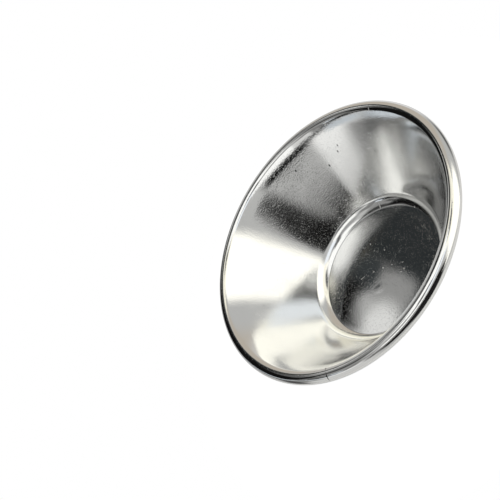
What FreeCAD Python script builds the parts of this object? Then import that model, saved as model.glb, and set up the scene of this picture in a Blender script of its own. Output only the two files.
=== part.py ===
"""Egg tart mould: one round sheet-metal cup, pressed with a flared wall and rolled at the rim.

Millimetres. The origin is at the centre of the underside of the base, +Z runs up the
axis of the cup, and the mould stands on the plane z = 0.
"""
import FreeCAD
import Part
import Sketcher
import math
import os

# Driving dimensions
SIZES = {
    "rim_diameter": (70.0, "outside diameter over the rolled rim"),
    "height": (21.4, "table to the top of the rim"),
    "base_diameter": (33.2, "flat panel of the base, measured inside at its crease"),
    "sheet": (0.55, "thickness of the sheet"),
    "crease_angle": (12.0, "degrees that the sheet turns up at the edge of the panel"),
    "corner_radius": (5.6, "inside radius of the bend from the base to the wall"),
    "curl_diameter": (3.4, "outside diameter of the rolled rim's section"),
    "curl_gap": (64.0, "degrees left open between the wall and the free edge of the curl"),
}


def make_size_sheet(doc):
    """Write the driving dimensions into a spreadsheet, one alias for each."""
    sheet = doc.addObject("Spreadsheet::Sheet", "Sizes")
    for row, (alias, (value, meaning)) in enumerate(SIZES.items(), start=1):
        sheet.set("A%d" % row, alias)
        sheet.set("B%d" % row, str(value))
        sheet.setAlias("B%d" % row, alias)
        sheet.set("C%d" % row, meaning)
    doc.recompute()
    return sheet


def origin_feature(body, role):
    """Return the body's own origin plane or axis that has this role."""
    for feature in body.Origin.OriginFeatures:
        if feature.Role == role:
            return feature
    raise RuntimeError("no origin feature " + role)


def polar(centre, radius, angle):
    """Point at an angle, in radians, on a circle in the plane of the section."""
    x = centre.x + radius * math.cos(angle)
    y = centre.y + radius * math.sin(angle)
    return FreeCAD.Vector(x, y, 0)


def section_layout(sheet):
    """Work out where the section's centres and tangent points lie.

    The wall is the line that passes outside the bend of the base and inside the curl, so
    its slope follows from the two centres and from the sum of the two radii.
    """
    thick = sheet.sheet
    bend = sheet.corner_radius
    curl = sheet.curl_diameter / 2
    crease = math.radians(sheet.crease_angle)
    panel = sheet.base_diameter / 2
    bend_centre = FreeCAD.Vector(panel - bend * math.sin(crease),
                                 thick + bend * math.cos(crease), 0)
    curl_centre = FreeCAD.Vector(sheet.rim_diameter / 2 - curl, sheet.height - curl, 0)
    run = curl_centre - bend_centre
    slope = math.atan2(run.y, run.x) + math.asin((bend + curl) / run.Length)
    reach = math.sqrt((bend + thick) ** 2 - bend_centre.y ** 2)
    gap = math.radians(sheet.curl_gap)
    return {
        "bend_centre": bend_centre,
        "curl_centre": curl_centre,
        "bend": bend,
        "curl": curl,
        "sheet": thick,
        "crease_in": FreeCAD.Vector(panel, thick, 0),
        "crease_out": FreeCAD.Vector(bend_centre.x + reach, 0, 0),
        "foot_angle": slope - math.pi / 2,
        "neck_angle": slope + math.pi / 2,
        "free_edge_angle": slope + math.pi / 2 + gap,
        "curl_gap": gap,
    }


def add_line(sketch, start, end):
    """Add a straight edge of the section and return its index."""
    return sketch.addGeometry(Part.LineSegment(start, end), False)


def add_arc(sketch, centre, radius, start, end):
    """Add an arc of the section, counter-clockwise between two angles in radians."""
    circle = Part.Circle(centre, FreeCAD.Vector(0, 0, 1), radius)
    return sketch.addGeometry(Part.ArcOfCircle(circle, start, end), False)


def draw_section(sketch, at):
    """Draw the closed section of the sheet, from the axis out to the free edge of the curl.

    Returns the index of each edge by name. The inside surface of the cup runs on as the
    outside of the curl.
    """
    axis_top = FreeCAD.Vector(0, at["sheet"], 0)
    axis_foot = FreeCAD.Vector(0, 0, 0)
    bend_in = at["bend"]
    bend_out = at["bend"] + at["sheet"]
    curl_out = at["curl"]
    curl_in = at["curl"] - at["sheet"]
    foot = at["foot_angle"]
    neck = at["neck_angle"]
    edge = at["free_edge_angle"]
    rise_in = at["crease_in"] - at["bend_centre"]
    rise_out = at["crease_out"] - at["bend_centre"]
    turn = edge - 2 * math.pi
    edges = {}
    edges["underside"] = add_line(sketch, axis_foot, at["crease_out"])
    edges["bend_out"] = add_arc(sketch, at["bend_centre"], bend_out,
                                math.atan2(rise_out.y, rise_out.x), foot)
    edges["wall_out"] = add_line(sketch, polar(at["bend_centre"], bend_out, foot),
                                 polar(at["curl_centre"], curl_in, neck))
    edges["curl_in"] = add_arc(sketch, at["curl_centre"], curl_in, turn, neck)
    edges["free_edge"] = add_line(sketch, polar(at["curl_centre"], curl_in, turn),
                                  polar(at["curl_centre"], curl_out, turn))
    edges["curl_out"] = add_arc(sketch, at["curl_centre"], curl_out, turn, neck)
    edges["wall_in"] = add_line(sketch, polar(at["curl_centre"], curl_out, neck),
                                polar(at["bend_centre"], bend_in, foot))
    edges["bend_in"] = add_arc(sketch, at["bend_centre"], bend_in,
                               math.atan2(rise_in.y, rise_in.x), foot)
    edges["panel"] = add_line(sketch, at["crease_in"], axis_top)
    edges["axis"] = add_line(sketch, axis_top, axis_foot)
    return edges


def join_section(sketch, edges):
    """Close the section and make its bends run smoothly into the wall."""
    start, end, centre = 1, 2, 3
    root, horizontal_axis = -1, -1
    relation = Sketcher.Constraint
    underside, axis, panel = edges["underside"], edges["axis"], edges["panel"]
    sketch.addConstraint([
        relation("Coincident", underside, start, root, 1),
        relation("PointOnObject", underside, end, horizontal_axis),
        relation("Coincident", axis, end, underside, start),
        relation("Vertical", axis),
        relation("Coincident", panel, end, axis, start),
        relation("Horizontal", panel),
        relation("Coincident", underside, end, edges["bend_out"], start),
        relation("Tangent", edges["bend_out"], end, edges["wall_out"], start),
        relation("Tangent", edges["wall_out"], end, edges["curl_in"], end),
        relation("Coincident", edges["curl_in"], start, edges["free_edge"], start),
        relation("Coincident", edges["free_edge"], end, edges["curl_out"], start),
        relation("Tangent", edges["curl_out"], end, edges["wall_in"], start),
        relation("Tangent", edges["wall_in"], end, edges["bend_in"], end),
        relation("Coincident", edges["bend_in"], start, panel, start),
        relation("Coincident", edges["bend_in"], centre, edges["bend_out"], centre),
        relation("Coincident", edges["curl_in"], centre, edges["curl_out"], centre),
        relation("PointOnObject", edges["curl_out"], centre, edges["free_edge"]),
    ])


def bind(sketch, name, constraint, expression):
    """Add a dimension to the section and tie it to the spreadsheet."""
    index = sketch.addConstraint(constraint)
    sketch.renameConstraint(index, name)
    sketch.setExpression("Constraints." + name, expression)


def dimension_section(sketch, edges, at):
    """Give the section its sizes, each from the spreadsheet."""
    relation = Sketcher.Constraint
    root, start, centre = -1, 1, 3
    panel, bend, curl = edges["panel"], edges["bend_in"], edges["curl_out"]
    bend_centre, curl_centre = at["bend_centre"], at["curl_centre"]
    bind(sketch, "panel_thickness",
         relation("DistanceY", root, 1, panel, start, at["sheet"]),
         "Sizes.sheet")
    bind(sketch, "panel_radius",
         relation("DistanceX", root, 1, panel, start, at["crease_in"].x),
         "Sizes.base_diameter / 2")
    bind(sketch, "bend_centre_radius",
         relation("DistanceX", root, 1, bend, centre, bend_centre.x),
         "Sizes.base_diameter / 2 - Sizes.corner_radius * sin(Sizes.crease_angle)")
    bind(sketch, "bend_centre_height",
         relation("DistanceY", root, 1, bend, centre, bend_centre.y),
         "Sizes.sheet + Sizes.corner_radius * cos(Sizes.crease_angle)")
    bind(sketch, "bend_outside",
         relation("Radius", edges["bend_out"], at["bend"] + at["sheet"]),
         "Sizes.corner_radius + Sizes.sheet")
    bind(sketch, "curl_centre_radius",
         relation("DistanceX", root, 1, curl, centre, curl_centre.x),
         "(Sizes.rim_diameter - Sizes.curl_diameter) / 2")
    bind(sketch, "curl_centre_height",
         relation("DistanceY", root, 1, curl, centre, curl_centre.y),
         "Sizes.height - Sizes.curl_diameter / 2")
    bind(sketch, "curl_outside",
         relation("Radius", curl, at["curl"]),
         "Sizes.curl_diameter / 2")
    bind(sketch, "curl_inside",
         relation("Radius", edges["curl_in"], at["curl"] - at["sheet"]),
         "Sizes.curl_diameter / 2 - Sizes.sheet")
    bind(sketch, "curl_opening",
         relation("Angle", edges["wall_out"], 1, edges["free_edge"], 1,
                  math.radians(90) + at["curl_gap"]),
         "(90 + Sizes.curl_gap) * 1 deg")


def make_mould(doc, sheet):
    """Press and roll the mould: the section of the sheet turned about the axis."""
    body = doc.addObject("PartDesign::Body", "TartMould")
    body.Label = "tart_mould"
    sketch = body.newObject("Sketcher::SketchObject", "SheetSection")
    sketch.AttachmentSupport = [(origin_feature(body, "XZ_Plane"), "")]
    sketch.MapMode = "FlatFace"
    at = section_layout(sheet)
    edges = draw_section(sketch, at)
    join_section(sketch, edges)
    dimension_section(sketch, edges, at)
    doc.recompute()
    turned = body.newObject("PartDesign::Revolution", "TurnedSheet")
    turned.Profile = sketch
    turned.ReferenceAxis = (origin_feature(body, "Z_Axis"), [""])
    turned.Angle = 360
    body.Tip = turned
    body.Placement = FreeCAD.Placement()
    return body


def check_document(doc, pieces):
    """Stop if any object failed to rebuild or any piece isn't a sound solid."""
    for item in doc.Objects:
        if "Invalid" in item.State or "Error" in item.State:
            raise RuntimeError(item.Name + " did not rebuild: " + str(item.State))
    for piece in pieces:
        if piece.Shape.isNull() or not piece.Shape.isValid():
            raise RuntimeError(piece.Label + " has no sound shape")
        if len(piece.Shape.Solids) != 1:
            raise RuntimeError(piece.Label + " isn't one solid")


def export_pieces(pieces):
    """Write each piece to a STEP file named after its label."""
    os.makedirs("parts", exist_ok=True)
    for piece in pieces:
        piece.Shape.exportStep(os.path.join("parts", piece.Label + ".step"))


def main():
    doc = FreeCAD.newDocument("EggTartMould")
    sheet = make_size_sheet(doc)
    pieces = [make_mould(doc, sheet)]
    doc.recompute()
    check_document(doc, pieces)
    export_pieces(pieces)
    for piece in pieces:
        box = piece.Shape.optimalBoundingBox()
        print("%s: %.2f x %.2f x %.2f mm, from z = %.3f, volume %.1f mm3"
              % (piece.Label, box.XLength, box.YLength, box.ZLength, box.ZMin,
                 piece.Shape.Volume))


main()
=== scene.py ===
"""Egg tart mould: a polished aluminium cup with a crowned base, a flared wall and a rolled rim.

Sizes are in millimetres and are turned to metres where a mesh is made. The origin is at the
centre of the underside of the base, and +Z runs up the axis of the cup.
"""
import logging
import math
from dataclasses import dataclass, field
from enum import Enum

import bpy
from mathutils import Matrix, Vector


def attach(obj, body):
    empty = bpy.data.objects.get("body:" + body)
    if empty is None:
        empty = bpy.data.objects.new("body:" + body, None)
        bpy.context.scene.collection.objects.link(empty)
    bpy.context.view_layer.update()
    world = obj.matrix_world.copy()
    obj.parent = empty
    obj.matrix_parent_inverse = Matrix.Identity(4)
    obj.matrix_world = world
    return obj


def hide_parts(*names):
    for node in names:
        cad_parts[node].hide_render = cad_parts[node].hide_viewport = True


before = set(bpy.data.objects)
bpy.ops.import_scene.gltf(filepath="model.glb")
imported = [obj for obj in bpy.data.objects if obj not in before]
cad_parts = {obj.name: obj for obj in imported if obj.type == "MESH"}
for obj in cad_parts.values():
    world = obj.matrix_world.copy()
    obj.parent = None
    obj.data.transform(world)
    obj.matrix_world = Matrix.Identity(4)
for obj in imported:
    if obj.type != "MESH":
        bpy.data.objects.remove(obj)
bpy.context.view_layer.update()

log = logging.getLogger("egg_tart_mould")

MM = 0.001
IMAGE_PIXELS = 500
SENSOR_MM = 36.0

# The sRGB curve is a straight line up to its knee and a power above it.
SRGB_KNEE = 0.04045
SRGB_SLOPE = 12.92
SRGB_OFFSET = 0.055
SRGB_POWER = 2.4


def linear_colour(hex_code: str) -> tuple[float, float, float, float]:
    """Turn an sRGB hex colour to the linear colour that a shader takes.

    Args:
        hex_code: Six hex digits, such as "f2f2f0".

    Returns:
        Linear red, green, blue and an alpha of 1.
    """
    channels = []
    for start in (0, 2, 4):
        value = int(hex_code[start:start + 2], 16) / 255
        if value <= SRGB_KNEE:
            channels.append(value / SRGB_SLOPE)
        else:
            channels.append(((value + SRGB_OFFSET) / (1 + SRGB_OFFSET)) ** SRGB_POWER)
    return (channels[0], channels[1], channels[2], 1.0)


def add_node(tree: bpy.types.NodeTree, kind: str, settings: dict | None = None,
             inputs: dict | None = None) -> bpy.types.Node:
    """Add a node with its settings, its values and its links.

    Args:
        tree: The node tree that the node is added to.
        kind: The node's type, such as "ShaderNodeMath".
        settings: Values for the node's own properties, by name.
        inputs: For an input's name or number, a value or the output socket that feeds it.

    Returns:
        The new node.
    """
    node = tree.nodes.new(kind)
    for name, value in (settings or {}).items():
        setattr(node, name, value)
    for key, value in (inputs or {}).items():
        if isinstance(value, bpy.types.NodeSocket):
            tree.links.new(value, node.inputs[key])
        else:
            node.inputs[key].default_value = value
    return node


def deselect_everything() -> None:
    """Leave object mode empty-handed, because an operator acts on all that is selected."""
    if bpy.context.object is not None and bpy.context.object.mode != "OBJECT":
        bpy.ops.object.mode_set(mode="OBJECT")
    bpy.ops.object.select_all(action="DESELECT")


class PanelShape(Enum):
    """Outline of a light panel or dark card, as seen from the mould."""

    BOX = "box"
    ROUND = "round"


@dataclass(frozen=True)
class SkyPoint:
    """Direction of a ray, as a point on a flat map of azimuth and elevation in radians.

    The front map runs from -180 to 180 degrees and the back map from 0 to 360, so that a panel
    on either side of the mould lies whole on one of them.
    """

    front: bpy.types.NodeSocket
    back: bpy.types.NodeSocket


@dataclass(frozen=True)
class Panel:
    """A light panel, reflector or dark card of the studio, placed by direction.

    Azimuth is in degrees from +Y towards +X and elevation is above the horizon. The half
    sizes are where its edge lies, and softness is the share of them that the edge blurs.
    """

    name: str
    azimuth: float
    elevation: float
    half_width: float
    half_height: float
    level: float
    softness: float = 0.3
    shape: PanelShape = PanelShape.BOX
    tilt: float = 0.0
    tint: str = "ffffff"

    def reach(self, tree: bpy.types.NodeTree, sky: SkyPoint) -> bpy.types.NodeSocket:
        """Add nodes that give the distance from the panel's middle, where 1 is its outline.

        Args:
            tree: The world's node tree.
            sky: The direction of the ray.

        Returns:
            The socket with the distance.
        """
        behind = abs(self.azimuth) > 90
        azimuth = self.azimuth % 360 if behind else self.azimuth
        placed = add_node(tree, "ShaderNodeMapping", {"vector_type": "TEXTURE"}, {
            "Vector": sky.back if behind else sky.front,
            "Location": (math.radians(azimuth), math.radians(self.elevation), 0.0),
            "Rotation": (0.0, 0.0, math.radians(self.tilt)),
            "Scale": (math.radians(self.half_width), math.radians(self.half_height), 1.0)})
        if self.shape is PanelShape.ROUND:
            return add_node(tree, "ShaderNodeVectorMath", {"operation": "LENGTH"},
                            {0: placed.outputs[0]}).outputs["Value"]
        folded = add_node(tree, "ShaderNodeVectorMath", {"operation": "ABSOLUTE"},
                          {0: placed.outputs[0]})
        sides = add_node(tree, "ShaderNodeSeparateXYZ", inputs={0: folded.outputs[0]})
        return add_node(tree, "ShaderNodeMath", {"operation": "MAXIMUM"},
                        {0: sides.outputs["X"], 1: sides.outputs["Y"]}).outputs[0]

    def paint(self, tree: bpy.types.NodeTree, sky: SkyPoint,
              under: bpy.types.NodeSocket | tuple) -> bpy.types.NodeSocket:
        """Add nodes that paint the panel over what was painted before it.

        Args:
            tree: The world's node tree.
            sky: The direction of the ray.
            under: The colour so far, as a value or a socket.

        Returns:
            The socket with the colour.
        """
        cover = add_node(tree, "ShaderNodeMapRange", {"interpolation_type": "SMOOTHSTEP"}, {
            "Value": self.reach(tree, sky),
            "From Min": 1 - self.softness, "From Max": 1 + self.softness,
            "To Min": 1.0, "To Max": 0.0})
        light = tuple(channel * self.level for channel in linear_colour(self.tint)[:3]) + (1.0,)
        return add_node(tree, "ShaderNodeMix", {"data_type": "RGBA", "label": self.name},
                        {"Factor": cover.outputs[0], "A": under, "B": light}).outputs["Result"]


@dataclass
class Studio:
    """White studio: a pale floor, soft panels and dark cards round the mould.

    The panels are painted in their order, so a later one covers those before it.
    """

    room_level: float = 0.50
    panels: tuple[Panel, ...] = (
        Panel("light on the far side, low", 22, -12, 30, 16, 0.80, 0.6),
        Panel("pale wall at the back left", -140, 56, 46, 14, 0.55, 0.2),
        Panel("grey wall over the softbox", -152, 58, 32, 8, 0.34, 0.3),
        Panel("grey wall beside the softbox", -110, 41, 13, 10, 0.21, 0.3),
        Panel("light on the left, low", -104, -8, 26, 26, 0.62, 0.3),
        Panel("overhead softbox", 0, 90, 400, 19.4, 1.12, 0.1),
        Panel("grey high band", 178, 69, 18, 8.5, 0.12, 0.25),
        Panel("shade high on the left", -60, 76, 24, 7, 0.25, 0.4, PanelShape.ROUND),
        Panel("beige wall on the right", 38, 28, 26, 24, 0.50, 0.4, tint="fff4e6"),
        Panel("right window", 120, 22, 28, 46, 1.3, 0.22, tilt=22, tint="fffdf6"),
        Panel("light over the window", 98, 57.5, 62, 5, 1.08, 0.25, tint="fffbec"),
        Panel("light at the near right", 158, 56, 22, 8, 1.08, 0.25, tint="f2f7ff"),
        Panel("gap over the window", 82, 66, 28, 3, 0.12, 0.3),
        Panel("cream reflector", 32, 61, 18, 8, 0.95, 0.4, PanelShape.ROUND, tint="fffbec"),
        Panel("dim left room", -62, 46, 36, 14, 0.28, 0.2),
        Panel("grey left room", -50, 60, 38, 7, 0.26, 0.4),
        Panel("dark left room", -36, 21, 29, 24, 0.006, 0.12, tilt=8),
        Panel("dark side of the left room", -68, 38, 10, 5, 0.10, 0.3),
        Panel("dark left corner", -53, 44, 9, 14, 0.004, 0.4, PanelShape.ROUND, tilt=-30),
        Panel("dark ceiling corner", -68, 61, 18, 10, 0.05, 0.4, PanelShape.ROUND, tilt=-20),
        Panel("shelf", -26, 46, 14, 4, 0.11, 0.6, PanelShape.ROUND),
        Panel("brown shelf", 3, 40, 9, 4.5, 0.09, 0.5, PanelShape.ROUND, tint="fff4dd"),
        Panel("back softbox", -156, 46.6, 27.5, 7, 1.08, 0.12, tilt=-10),
        Panel("end of the back softbox", -120, 36.4, 9, 3.2, 0.70, 0.25, tilt=-14),
        Panel("grey over the strip", -97, 31, 7, 4, 0.15, 0.4, tilt=-10),
        Panel("strip light", -101, 21.3, 18, 4.2, 0.90, 0.30, tilt=-10),
        Panel("dark over the strip", -80, 27.5, 15, 4.5, 0.015, 0.3, tilt=-16),
        Panel("cold strip light", -88, 21.5, 14, 2.2, 0.62, 0.4, tilt=-18, tint="eef6ff"),
        Panel("end of the cold strip", -56, 8, 17, 3.0, 0.68, 0.4, tilt=-27, tint="eef6ff"),
        Panel("grey under the strip", -70, 5, 20, 5, 0.22, 0.5, tilt=-22),
        Panel("top of the strip", -93, 33.5, 5, 2.5, 0.90, 0.4, tint="eef6ff"),
        Panel("dark camera side", -171, 7, 36, 20, 0.012, 0.15, PanelShape.ROUND),
        Panel("top of the camera side", 176, 24, 18, 9, 0.012, 0.2, PanelShape.ROUND),
        Panel("low on the camera side", 180, -12, 21, 22, 0.015, 0.25, PanelShape.ROUND),
        Panel("dark gap", -146, 33.4, 26, 2.9, 0.005, 0.3, tilt=-8),
        Panel("narrow gap", -110, 29.6, 10, 0.9, 0.06, 0.5, tilt=-8),
        Panel("dark back shelf", -137, 18.5, 15, 4.8, 0.01, 0.25, tilt=-8),
        Panel("shade over the stand", -4, 60, 17, 11.5, 0.04, 0.3, PanelShape.ROUND,
              tint="f4fcff"),
        Panel("grey over the lamp", -15, 69, 9, 3.5, 0.26, 0.4, PanelShape.ROUND),
        Panel("foot of the stand", -2, 43.5, 4, 3.5, 0.045, 0.3, PanelShape.ROUND,
              tint="e9f7ff"),
        Panel("glow of the lamp", -3, 50.4, 6, 4, 0.30, 0.25, PanelShape.ROUND),
        Panel("lamp", -10.5, 50.6, 4.8, 3.8, 0.78, 0.5, PanelShape.ROUND),
        Panel("neck of the stand", 4, 47, 3.6, 3, 0.05, 0.4, PanelShape.ROUND),
        Panel("shade under the lamp", -10, 40.7, 6, 3.6, 0.004, 0.3),
        Panel("dark stand", 8, 54.6, 6.6, 14.6, 0.03, 0.12, tint="e9f7ff"),
        Panel("low left card", -70, -10, 9, 20, 0.08, 0.6, PanelShape.ROUND),
        Panel("low right card", 70, -16, 14, 14, 0.10, 0.7, PanelShape.ROUND),
    )
    floor_radius: float = 62.0
    floor_sides: int = 96
    floor_gap: float = 0.02
    floor_colour: str = "efefee"
    floor_glow: float = 0.85
    mirrored_glow: float = 0.30
    floor_glow_level: float = 1.15

    def light(self) -> None:
        """Build the world: white to the camera, and the studio to everything else."""
        world = bpy.data.worlds.new("studio")
        bpy.context.scene.world = world
        world.use_nodes = True
        tree = world.node_tree
        tree.nodes.clear()
        coordinates = add_node(tree, "ShaderNodeTexCoord")
        split = add_node(tree, "ShaderNodeSeparateXYZ", inputs={0: coordinates.outputs["Generated"]})
        azimuth = add_node(tree, "ShaderNodeMath", {"operation": "ARCTAN2"},
                           {0: split.outputs["X"], 1: split.outputs["Y"]})
        elevation = add_node(tree, "ShaderNodeMath", {"operation": "ARCSINE"},
                             {0: split.outputs["Z"]})
        behind = add_node(tree, "ShaderNodeMath", {"operation": "WRAP"},
                          {0: azimuth.outputs[0], 1: 2 * math.pi, 2: 0.0})
        front = add_node(tree, "ShaderNodeCombineXYZ",
                         inputs={"X": azimuth.outputs[0], "Y": elevation.outputs[0]})
        back = add_node(tree, "ShaderNodeCombineXYZ",
                        inputs={"X": behind.outputs[0], "Y": elevation.outputs[0]})
        sky = SkyPoint(front.outputs[0], back.outputs[0])
        colour = (self.room_level,) * 3 + (1.0,)
        for panel in self.panels:
            colour = panel.paint(tree, sky, colour)
        ray = add_node(tree, "ShaderNodeLightPath")
        seen = add_node(tree, "ShaderNodeMix", {"data_type": "RGBA"},
                        {"Factor": ray.outputs["Is Camera Ray"], "A": colour,
                         "B": (1.0, 1.0, 1.0, 1.0)})
        background = add_node(tree, "ShaderNodeBackground",
                              inputs={"Color": seen.outputs["Result"], "Strength": 1.0})
        add_node(tree, "ShaderNodeOutputWorld", inputs={"Surface": background.outputs[0]})

    def floor(self) -> bpy.types.Object:
        """Lay the pale floor that the mould stands on and that takes its shadow.

        Returns:
            The floor.
        """
        deselect_everything()
        bpy.ops.mesh.primitive_circle_add(vertices=self.floor_sides, radius=self.floor_radius * MM,
                                          fill_type="NGON", location=(0, 0, -self.floor_gap * MM))
        floor = bpy.context.object
        floor.name = "floor"
        floor.data.materials.append(self.board())
        return floor

    def board(self) -> bpy.types.Material:
        """Build the floor's finish: matt white board, with a glow in place of its own lamps.

        Returns:
            The material.
        """
        material = bpy.data.materials.new("matt white board")
        material.use_nodes = True
        tree = material.node_tree
        tree.nodes.clear()
        matt = add_node(tree, "ShaderNodeBsdfDiffuse",
                        inputs={"Color": linear_colour(self.floor_colour)})
        glow = add_node(tree, "ShaderNodeEmission", inputs={"Strength": self.floor_glow_level})
        ray = add_node(tree, "ShaderNodeLightPath")
        mirrored = add_node(tree, "ShaderNodeMath", {"operation": "MAXIMUM"},
                            {0: ray.outputs["Is Glossy Ray"],
                             1: ray.outputs["Is Transmission Ray"]})
        seen = add_node(tree, "ShaderNodeMath", {"operation": "MULTIPLY"},
                        {0: ray.outputs["Is Camera Ray"], 1: self.floor_glow})
        share = add_node(tree, "ShaderNodeMath", {"operation": "MULTIPLY_ADD"},
                         {0: mirrored.outputs[0], 1: self.mirrored_glow, 2: seen.outputs[0]})
        mixed = add_node(tree, "ShaderNodeMixShader",
                         inputs={0: share.outputs[0], 1: matt.outputs[0], 2: glow.outputs[0]})
        add_node(tree, "ShaderNodeOutputMaterial", inputs={"Surface": mixed.outputs[0]})
        return material


@dataclass
class ViewCamera:
    """Camera at the photograph's place: above the cup and well turned about its own axis."""

    focal_pixels: float = 1253.5
    distance: float = 302.0
    elevation: float = 45.717
    roll: float = -59.111
    target_height: float = 0.55
    target_pixel: tuple[float, float] = (382.72, 268.63)
    nearest: float = 10.0
    farthest: float = 10000.0

    def place(self) -> None:
        """Add the camera and make it the scene's own."""
        tilt = math.radians(self.elevation)
        turn = math.radians(self.roll)
        eye = Vector((0.0, -math.cos(tilt), math.sin(tilt))) * self.distance
        forward = -eye.normalized()
        right = forward.cross(Vector((0.0, 0.0, 1.0))).normalized()
        up = right.cross(forward)
        rolled_right = math.cos(turn) * right + math.sin(turn) * up
        rolled_up = -math.sin(turn) * right + math.cos(turn) * up
        middle = IMAGE_PIXELS / 2
        aside = Vector(((self.target_pixel[0] - middle) / self.focal_pixels,
                        -(self.target_pixel[1] - middle) / self.focal_pixels, 1.0)).normalized()
        swing = Vector((0.0, 0.0, 1.0)).rotation_difference(aside).to_matrix()
        axes = swing @ Matrix((rolled_right, rolled_up, forward))
        pose = Matrix((axes[0], axes[1], -axes[2])).transposed().to_4x4()
        pose.translation = (eye + Vector((0.0, 0.0, self.target_height))) * MM
        deselect_everything()
        bpy.ops.object.camera_add()
        camera = bpy.context.object
        camera.name = "camera"
        camera.matrix_world = pose
        camera.data.sensor_width = SENSOR_MM
        camera.data.lens = self.focal_pixels * SENSOR_MM / IMAGE_PIXELS
        camera.data.clip_start = self.nearest * MM
        camera.data.clip_end = self.farthest * MM
        camera.data.dof.use_dof = False
        bpy.context.scene.camera = camera


class MarkKind(Enum):
    """What a small mark does to the sheet."""

    SCUFF = "scuff"
    PIT = "pit"


@dataclass(frozen=True)
class SheetPoint:
    """Point of the sheet that a material colours: where it is, in a material's node tree.

    Place is in object coordinates, flat is the same with its height left out, and share is
    the distance from the axis as a share of the rim's radius.
    """

    tree: bpy.types.NodeTree
    place: bpy.types.NodeSocket
    flat: bpy.types.NodeSocket
    share: bpy.types.NodeSocket


@dataclass(frozen=True)
class Blemish:
    """A small mark on the inside of the sheet.

    Its place is given by its distance from the axis and its azimuth from +Y towards +X. Its
    length lies along the radius, or turned from it by an angle in degrees.
    """

    radius: float
    azimuth: float
    length: float = 0.30
    width: float = 0.25
    turn: float = 0.0
    kind: MarkKind = MarkKind.SCUFF

    def reach(self, point: SheetPoint) -> bpy.types.NodeSocket:
        """Add nodes that give the distance from the mark, where 1 is its outline.

        Args:
            point: The point of the sheet.

        Returns:
            The socket with the distance.
        """
        bearing = math.radians(self.azimuth)
        placed = add_node(point.tree, "ShaderNodeMapping", {"vector_type": "TEXTURE"}, {
            "Vector": point.flat,
            "Location": (self.radius * math.sin(bearing) * MM,
                         self.radius * math.cos(bearing) * MM, 0.0),
            "Rotation": (0.0, 0.0, math.radians(90 - self.azimuth + self.turn)),
            "Scale": (self.length / 2 * MM, self.width / 2 * MM, 1.0)})
        return add_node(point.tree, "ShaderNodeVectorMath", {"operation": "LENGTH"},
                        {0: placed.outputs[0]}).outputs["Value"]


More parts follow.
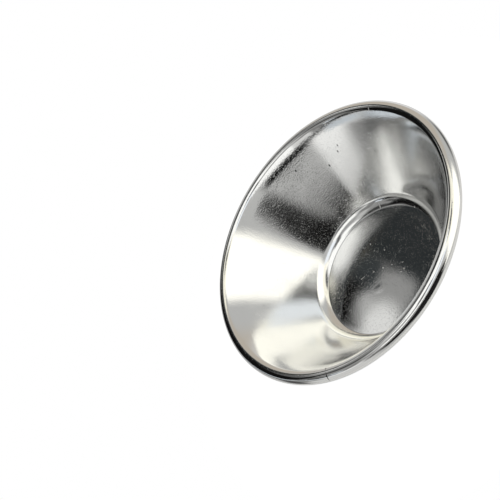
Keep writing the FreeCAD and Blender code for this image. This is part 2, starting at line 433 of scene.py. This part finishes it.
@dataclass(frozen=True)
class PolishedAluminium:
    """Soft aluminium sheet, rolled, drawn over a punch and polished.

    It gives the eye a mirror, sharp on the curled rim and the base and soft on the wall, where
    the punch has rubbed it, with the sheet's rolling grain across the base, one shallow dent
    knocked up from below and the scuffs and pits of use. The fields that end in span are
    shares of the rim's radius.
    """

    name: str = "polished aluminium"
    colour: str = "f2f2ef"
    edge_tint: str = "f6f6f8"
    outer_radius: float = 35.0
    base_span: tuple[float, float] = (0.0, 0.46)
    base_roughness: float = 0.06
    bend_span: tuple[float, float] = (0.50, 0.58)
    bend_roughness: float = 0.09
    wall_span: tuple[float, float] = (0.66, 0.80)
    wall_roughness: float = 0.12
    rim_span: tuple[float, float] = (0.87, 1.0)
    rim_roughness: float = 0.045
    smudge_size: float = 5.0
    smudge_range: tuple[float, float] = (0.3, 0.7)
    smudge_depth: float = 0.30
    grain_size: float = 0.30
    grain_height: float = 0.0035
    wall_grain: float = 3.0
    speckle: float = 0.14
    speckle_range: tuple[float, float] = (0.57, 0.70)
    rolling_angle: float = 38.0
    rolling_width: float = 0.45
    rolling_length: float = 7.0
    rolling_height: float = 0.0020
    rolling_end_span: tuple[float, float] = (0.44, 0.48)
    rub_width: float = 2.2
    rub_length: float = 12.5
    rub_height: float = 0.012
    rubbed_radius: float = 25.0
    wall_foot_span: tuple[float, float] = (0.50, 0.62)
    wall_top_span: tuple[float, float] = (0.87, 0.93)
    pit_colour: str = "4a4a4a"
    pit_spacing: float = 1.5
    pit_size: float = 0.20
    pit_share: float = 0.07
    pit_edge: tuple[float, float] = (0.6, 1.2)
    pitted_from: float = 0.55
    dent: Blemish = Blemish(5.3, -127.0, 5.4, 3.2, -73.0)
    dent_depth: float = 0.011
    scuff_roughness: float = 0.65
    mark_edge: tuple[float, float] = (0.6, 1.1)
    marks: tuple[Blemish, ...] = (
        Blemish(2.3, -50.0, 0.50, 0.30),
        Blemish(0.6, 158.0, 0.40, 0.40),
        Blemish(3.1, 141.0, 0.40, 0.25),
        Blemish(6.9, 158.0, 0.40, 0.40),
        Blemish(6.4, 165.0, 0.40, 0.30),
        Blemish(8.2, 26.0, 0.40, 0.25),
        Blemish(6.3, 143.0),
        Blemish(4.6, 62.0),
        Blemish(5.65, -51.0, 1.7, 0.15, 14.0),
        Blemish(16.7, 85.0, 0.40, 0.30),
        Blemish(17.2, 48.0, 1.6, 0.25),
        Blemish(32.3, 70.5, 0.9, 0.30),
        Blemish(31.9, 46.0, 0.6, 0.35),
        Blemish(34.4, -130.3, 1.4, 0.30, 0.0, MarkKind.PIT),
        Blemish(32.6, -130.0, 0.6, 0.30, 0.0, MarkKind.PIT),
        Blemish(28.2, 45.5, 0.40, 0.30, 0.0, MarkKind.PIT),
        Blemish(27.4, 43.7, 0.40, 0.35, 0.0, MarkKind.PIT),
        Blemish(26.3, 35.0, 0.45, 0.40, 0.0, MarkKind.PIT),
        Blemish(28.9, 19.8, 0.45, 0.40, 0.0, MarkKind.PIT),
        Blemish(25.7, 64.7, 0.40, 0.25, 0.0, MarkKind.PIT),
    )

    def material(self) -> bpy.types.Material:
        """Build the finish.

        Returns:
            The material.
        """
        material = bpy.data.materials.new(self.name)
        material.use_nodes = True
        tree = material.node_tree
        tree.nodes.clear()
        place = add_node(tree, "ShaderNodeTexCoord").outputs["Object"]
        flat = add_node(tree, "ShaderNodeVectorMath", {"operation": "MULTIPLY"},
                        {0: place, 1: (1.0, 1.0, 0.0)}).outputs[0]
        radius = add_node(tree, "ShaderNodeVectorMath", {"operation": "LENGTH"},
                          {0: flat}).outputs["Value"]
        share = add_node(tree, "ShaderNodeMath", {"operation": "DIVIDE"},
                         {0: radius, 1: self.outer_radius * MM}).outputs[0]
        point = SheetPoint(tree, place, flat, share)
        grain = add_node(tree, "ShaderNodeTexNoise", inputs={
            "Vector": place, "Scale": 1 / (self.grain_size * MM), "Detail": 1.0}).outputs[0]
        metal = add_node(tree, "ShaderNodeBsdfPrincipled",
                         inputs={"Base Color": self.tarnish(point),
                                 "Metallic": 1.0,
                                 "Roughness": self.polish(point, grain),
                                 "Normal": self.relief(point, grain),
                                 "Specular Tint": linear_colour(self.edge_tint)})
        add_node(tree, "ShaderNodeOutputMaterial", inputs={"Surface": metal.outputs[0]})
        return material

    def tarnish(self, point: SheetPoint) -> bpy.types.NodeSocket:
        """Add nodes for the metal's colour, which is darker in the pits.

        Args:
            point: The point of the sheet.

        Returns:
            The socket with the colour.
        """
        pitted = add_node(point.tree, "ShaderNodeMath", {"operation": "MAXIMUM"},
                          {0: self.marked(point, MarkKind.PIT), 1: self.pits(point)})
        return add_node(point.tree, "ShaderNodeMix", {"data_type": "RGBA"}, {
            "Factor": pitted.outputs[0], "A": linear_colour(self.colour),
            "B": linear_colour(self.pit_colour)}).outputs["Result"]

    def polish(self, point: SheetPoint, grain: bpy.types.NodeSocket) -> bpy.types.NodeSocket:
        """Add nodes for the roughness, by zone, with smudges, specks and scuffs.

        Args:
            point: The point of the sheet.
            grain: The grain's height, from 0 to 1.

        Returns:
            The socket with the roughness.
        """
        zones = add_node(point.tree, "ShaderNodeValToRGB", inputs={"Fac": point.share})
        spans = ((self.base_span, self.base_roughness), (self.bend_span, self.bend_roughness),
                 (self.wall_span, self.wall_roughness), (self.rim_span, self.rim_roughness))
        stops = [(where, roughness) for span, roughness in spans for where in span]
        while len(zones.color_ramp.elements) < len(stops):
            zones.color_ramp.elements.new(0.5)
        for stop, (where, roughness) in zip(zones.color_ramp.elements, stops):
            stop.position = where
            stop.color = (roughness, roughness, roughness, 1.0)
        smudge = add_node(point.tree, "ShaderNodeTexNoise", inputs={
            "Vector": point.place, "Scale": 1 / (self.smudge_size * MM), "Detail": 3.0})
        patch = add_node(point.tree, "ShaderNodeMapRange", inputs={
            "Value": smudge.outputs[0],
            "From Min": self.smudge_range[0], "From Max": self.smudge_range[1],
            "To Min": 1 - self.smudge_depth, "To Max": 1 + self.smudge_depth})
        speck = add_node(point.tree, "ShaderNodeMapRange", inputs={
            "Value": grain,
            "From Min": self.speckle_range[0], "From Max": self.speckle_range[1],
            "To Min": 0.0, "To Max": self.speckle})
        polished = add_node(point.tree, "ShaderNodeMath", {"operation": "MULTIPLY_ADD"},
                            {0: zones.outputs["Color"], 1: patch.outputs[0],
                             2: speck.outputs[0]})
        return add_node(point.tree, "ShaderNodeMix", inputs={
            "Factor": self.marked(point, MarkKind.SCUFF), "A": polished.outputs[0],
            "B": self.scuff_roughness}).outputs["Result"]

    def relief(self, point: SheetPoint, grain: bpy.types.NodeSocket) -> bpy.types.NodeSocket:
        """Add nodes for the grain, the rub marks, the rolling lines and the dent.

        Each is too shallow to show as a shape.

        Args:
            point: The point of the sheet.
            grain: The grain's height, from 0 to 1.

        Returns:
            The socket with the surface's normal.
        """
        wall = self.on_wall(point)
        coarseness = add_node(point.tree, "ShaderNodeMath", {"operation": "MULTIPLY_ADD"},
                              {0: wall, 1: self.wall_grain - 1, 2: 1.0})
        grains = add_node(point.tree, "ShaderNodeMath", {"operation": "MULTIPLY"},
                          {0: grain, 1: coarseness.outputs[0]})
        rubs = add_node(point.tree, "ShaderNodeMath", {"operation": "MULTIPLY"},
                        {0: self.rub_marks(point), 1: wall})
        raised = add_node(point.tree, "ShaderNodeMapRange",
                          {"interpolation_type": "SMOOTHERSTEP"},
                          {"Value": self.dent.reach(point), "From Min": 0.0, "From Max": 1.0,
                           "To Min": 1.0, "To Max": 0.0})
        surface = None
        for height, depth in ((grains.outputs[0], self.grain_height),
                              (rubs.outputs[0], self.rub_height),
                              (self.rolling_lines(point), self.rolling_height),
                              (raised.outputs[0], self.dent_depth)):
            bump = add_node(point.tree, "ShaderNodeBump", inputs={
                "Height": height, "Strength": 1.0, "Distance": depth * MM})
            if surface is not None:
                point.tree.links.new(surface, bump.inputs["Normal"])
            surface = bump.outputs[0]
        return surface

    def on_wall(self, point: SheetPoint) -> bpy.types.NodeSocket:
        """Add nodes that are 1 on the wall and fade out into the bend and the rim.

        Args:
            point: The point of the sheet.

        Returns:
            The socket with the mask.
        """
        ends = []
        for span, before, after in ((self.wall_foot_span, 0.0, 1.0),
                                    (self.wall_top_span, 1.0, 0.0)):
            fade = add_node(point.tree, "ShaderNodeMapRange",
                            {"interpolation_type": "SMOOTHSTEP"},
                            {"Value": point.share, "From Min": span[0], "From Max": span[1],
                             "To Min": before, "To Max": after})
            ends.append(fade.outputs[0])
        return add_node(point.tree, "ShaderNodeMath", {"operation": "MULTIPLY"},
                        {0: ends[0], 1: ends[1]}).outputs[0]

    def rub_marks(self, point: SheetPoint) -> bpy.types.NodeSocket:
        """Add nodes for the long marks that the punch rubbed up the wall.

        Args:
            point: The point of the sheet.

        Returns:
            The socket with their height, from 0 to 1.
        """
        around = add_node(point.tree, "ShaderNodeVectorMath", {"operation": "NORMALIZE"},
                          {0: point.flat})
        across = add_node(point.tree, "ShaderNodeMapping", inputs={
            "Vector": around.outputs[0], "Scale": (self.rubbed_radius / self.rub_width,) * 3})
        along = add_node(point.tree, "ShaderNodeVectorMath", {"operation": "MULTIPLY_ADD"},
                         {0: point.place, 1: (0.0, 0.0, 1 / (self.rub_length * MM)),
                          2: across.outputs[0]})
        return add_node(point.tree, "ShaderNodeTexNoise", inputs={
            "Vector": along.outputs[0], "Scale": 1.0, "Detail": 2.0}).outputs[0]

    def rolling_lines(self, point: SheetPoint) -> bpy.types.NodeSocket:
        """Add nodes for the lines that the rolling mill left across the base.

        The real lines are finer than the picture can show, so they are drawn coarser.

        Args:
            point: The point of the sheet.

        Returns:
            The socket with their height, from 0 to 1.
        """
        stretched = add_node(point.tree, "ShaderNodeMapping", {"vector_type": "TEXTURE"}, {
            "Vector": point.flat, "Rotation": (0.0, 0.0, math.radians(self.rolling_angle)),
            "Scale": (self.rolling_length * MM, self.rolling_width * MM, 1.0)})
        lines = add_node(point.tree, "ShaderNodeTexNoise", inputs={
            "Vector": stretched.outputs[0], "Scale": 1.0, "Detail": 1.0})
        on_base = add_node(point.tree, "ShaderNodeMapRange", {"interpolation_type": "SMOOTHSTEP"}, {
            "Value": point.share,
            "From Min": self.rolling_end_span[0], "From Max": self.rolling_end_span[1],
            "To Min": 1.0, "To Max": 0.0})
        return add_node(point.tree, "ShaderNodeMath", {"operation": "MULTIPLY"},
                        {0: lines.outputs[0], 1: on_base.outputs[0]}).outputs[0]

    def marked(self, point: SheetPoint, kind: MarkKind) -> bpy.types.NodeSocket:
        """Add nodes that are 1 on the marks of one kind, on the inside of the sheet only.

        Args:
            point: The point of the sheet.
            kind: The marks to show.

        Returns:
            The socket with the mask.
        """
        facing = add_node(point.tree, "ShaderNodeSeparateXYZ", inputs={
            0: add_node(point.tree, "ShaderNodeNewGeometry").outputs["True Normal"]})
        upward = add_node(point.tree, "ShaderNodeMath", {"operation": "GREATER_THAN"},
                          {0: facing.outputs["Z"], 1: 0.0}).outputs[0]
        nearest = None
        for mark in self.marks:
            if mark.kind is not kind:
                continue
            reach = mark.reach(point)
            if nearest is not None:
                reach = add_node(point.tree, "ShaderNodeMath", {"operation": "MINIMUM"},
                                 {0: nearest, 1: reach}).outputs[0]
            nearest = reach
        return add_node(point.tree, "ShaderNodeMapRange", {"interpolation_type": "SMOOTHSTEP"}, {
            "Value": nearest, "From Min": self.mark_edge[0], "From Max": self.mark_edge[1],
            "To Min": upward, "To Max": 0.0}).outputs[0]

    def pits(self, point: SheetPoint) -> bpy.types.NodeSocket:
        """Add nodes for the small dark pits that are scattered over the wall.

        Args:
            point: The point of the sheet.

        Returns:
            The socket with the mask.
        """
        cells = add_node(point.tree, "ShaderNodeTexVoronoi", inputs={
            "Vector": point.place, "Scale": 1 / (self.pit_spacing * MM)})
        draw = add_node(point.tree, "ShaderNodeSeparateColor", inputs={0: cells.outputs["Color"]})
        chosen = add_node(point.tree, "ShaderNodeMath", {"operation": "LESS_THAN"},
                          {0: draw.outputs[0], 1: self.pit_share})
        outside_base = add_node(point.tree, "ShaderNodeMath", {"operation": "GREATER_THAN"},
                                {0: point.share, 1: self.pitted_from})
        allowed = add_node(point.tree, "ShaderNodeMath", {"operation": "MULTIPLY"},
                           {0: chosen.outputs[0], 1: outside_base.outputs[0]})
        outline = self.pit_size / 2 / self.pit_spacing
        return add_node(point.tree, "ShaderNodeMapRange", {"interpolation_type": "SMOOTHSTEP"}, {
            "Value": cells.outputs["Distance"],
            "From Min": outline * self.pit_edge[0], "From Max": outline * self.pit_edge[1],
            "To Min": allowed.outputs[0], "To Max": 0.0}).outputs[0]


@dataclass
class SectionPen:
    """Draws a section in the plane y = 0 by spinning its last vertex.

    The heading is in radians from +X towards +Z.
    """

    x: float
    z: float
    heading: float = 0.0

    def start(self) -> None:
        """Put down the first vertex: a small plane merged to one point, in edit mode."""
        deselect_everything()
        bpy.ops.mesh.primitive_plane_add(size=MM, location=(self.x * MM, 0, self.z * MM))
        bpy.ops.object.mode_set(mode="EDIT")
        bpy.ops.mesh.select_mode(type="VERT")
        bpy.ops.mesh.select_all(action="SELECT")
        bpy.ops.mesh.merge(type="CENTER")

    def arc(self, radius: float, turn: float, steps: int) -> None:
        """Spin the last vertex about a centre beside it.

        Args:
            radius: Radius of the arc in millimetres.
            turn: Angle turned in radians, positive to the left and negative to the right.
            steps: Number of edges.
        """
        side = math.copysign(1.0, turn)
        centre_x = self.x - side * radius * math.sin(self.heading)
        centre_z = self.z + side * radius * math.cos(self.heading)
        bpy.ops.mesh.spin(steps=steps, dupli=False, angle=turn,
                          center=(centre_x * MM, 0, centre_z * MM), axis=(0, 1, 0))
        self.heading += turn
        self.x = centre_x + side * radius * math.sin(self.heading)
        self.z = centre_z - side * radius * math.cos(self.heading)


@dataclass
class TartMould:
    """The mould: one disc of aluminium sheet, drawn to a cup and curled at its edge."""

    rim_diameter: float = 69.99
    height: float = 21.3995
    base_diameter: float = 33.2
    sheet: float = 0.55
    crown: float = 0.6
    crown_edges: int = 12
    crease_angle: float = 18.8
    crease_radius: float = 0.5
    crease_edges: int = 4
    bend_radius: float = 4.8
    bend_edges: int = 16
    wall_radius: float = 400.0
    wall_edges: int = 16
    flare_radius: float = 33.0
    flare_angle: float = 5.2
    flare_edges: int = 8
    curl_diameter: float = 3.4
    free_edge_angle: float = -149.63
    curl_edges: int = 56
    turn_edges: int = 256
    merge_distance: float = 0.01
    smooth_angle: float = 50.0
    finish: PolishedAluminium = field(default_factory=PolishedAluminium)

    def draw_section(self) -> None:
        """Draw the inside line of the sheet, from the axis out to the free edge of the curl.

        The mesh is left in edit mode. The bend, the wall, the flare and the curl are tangent
        arcs, so the wall's place follows from the bend's centre, the curl's centre and the
        four radii.
        """
        panel = self.base_diameter / 2
        crown_radius = (panel ** 2 + self.crown ** 2) / (2 * self.crown)
        crease_turn = math.radians(self.crease_angle) + math.asin(panel / crown_radius)
        panel -= self.crease_radius * math.tan(crease_turn / 2)
        pen = SectionPen(0.0, self.sheet + self.crown)
        pen.start()
        pen.arc(crown_radius, -math.asin(panel / crown_radius), self.crown_edges)
        pen.arc(self.crease_radius, math.radians(self.crease_angle) - pen.heading,
                self.crease_edges)
        bend = self.bend_radius
        curl = self.curl_diameter / 2
        wall = self.wall_radius
        flare = self.flare_radius
        flare_turn = math.radians(self.flare_angle)
        bend_x = pen.x - bend * math.sin(pen.heading)
        bend_z = pen.z + bend * math.cos(pen.heading)
        curl_x = self.rim_diameter / 2 - curl
        curl_z = self.height - curl
        reach = math.hypot(curl_x - bend_x, curl_z - bend_z)
        bearing = math.atan2(curl_z - bend_z, curl_x - bend_x)
        ahead = wall - flare + (flare - curl) * math.cos(flare_turn)
        aside = (flare - curl) * math.sin(flare_turn)
        near_side = wall + bend
        far_side = math.hypot(ahead, aside)
        at_bend = math.acos((reach ** 2 + near_side ** 2 - far_side ** 2) / (2 * reach * near_side))
        at_wall = math.acos((near_side ** 2 + far_side ** 2 - reach ** 2)
                            / (2 * near_side * far_side))
        foot_heading = bearing - at_bend + math.pi / 2
        pen.arc(bend, foot_heading - pen.heading, self.bend_edges)
        pen.arc(wall, math.atan2(aside, ahead) - at_wall, self.wall_edges)
        pen.arc(flare, -flare_turn, self.flare_edges)
        sweep = pen.heading + math.pi / 2 - math.radians(self.free_edge_angle)
        pen.arc(curl, -sweep, self.curl_edges)

    def build(self) -> bpy.types.Object:
        """Spin the section, give it the sheet's thickness and dress it.

        Returns:
            The mould, which stands for the CAD node of the same shape.
        """
        self.draw_section()
        bpy.ops.mesh.select_all(action="SELECT")
        bpy.ops.mesh.spin(steps=self.turn_edges, dupli=False, angle=2 * math.pi,
                          center=(0, 0, 0), axis=(0, 0, 1), use_auto_merge=True)
        bpy.ops.mesh.select_all(action="SELECT")
        bpy.ops.mesh.remove_doubles(threshold=self.merge_distance * MM)
        bpy.ops.mesh.select_all(action="SELECT")
        bpy.ops.mesh.normals_make_consistent(inside=False)
        bpy.ops.object.mode_set(mode="OBJECT")
        mould = bpy.context.object
        mould.name = "aluminium_mould"
        mould.data.name = "aluminium_mould"
        bpy.ops.object.transform_apply(location=True, rotation=True, scale=True)
        wall = mould.modifiers.new("sheet", "SOLIDIFY")
        wall.thickness = self.sheet * MM
        wall.offset = -1.0
        wall.use_even_offset = True
        bpy.ops.object.modifier_apply(modifier=wall.name)
        bpy.ops.object.shade_smooth_by_angle(angle=math.radians(self.smooth_angle))
        mould.data.materials.clear()
        mould.data.materials.append(self.finish.material())
        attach(mould, "root")
        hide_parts("tart_mould")
        return mould


def report(piece: bpy.types.Object) -> None:
    """Write a piece's box and its number of triangles to the log.

    Args:
        piece: The piece that was built.
    """
    corners = [piece.matrix_world @ Vector(corner) for corner in piece.bound_box]
    low = [min(corner[axis] for corner in corners) / MM for axis in range(3)]
    high = [max(corner[axis] for corner in corners) / MM for axis in range(3)]
    triangles = sum(len(face.vertices) - 2 for face in piece.data.polygons)
    log.info("%s: from (%.2f, %.2f, %.2f) to (%.2f, %.2f, %.2f) mm, %d triangles",
             piece.name, *low, *high, triangles)


def main() -> None:
    """Build the mould and its studio in order."""
    logging.basicConfig(level=logging.INFO, format="%(name)s: %(message)s")
    bpy.context.scene.view_settings.view_transform = "Standard"
    ViewCamera().place()
    studio = Studio()
    studio.light()
    report(studio.floor())
    report(TartMould().build())


if __name__ == "__main__":
    main()
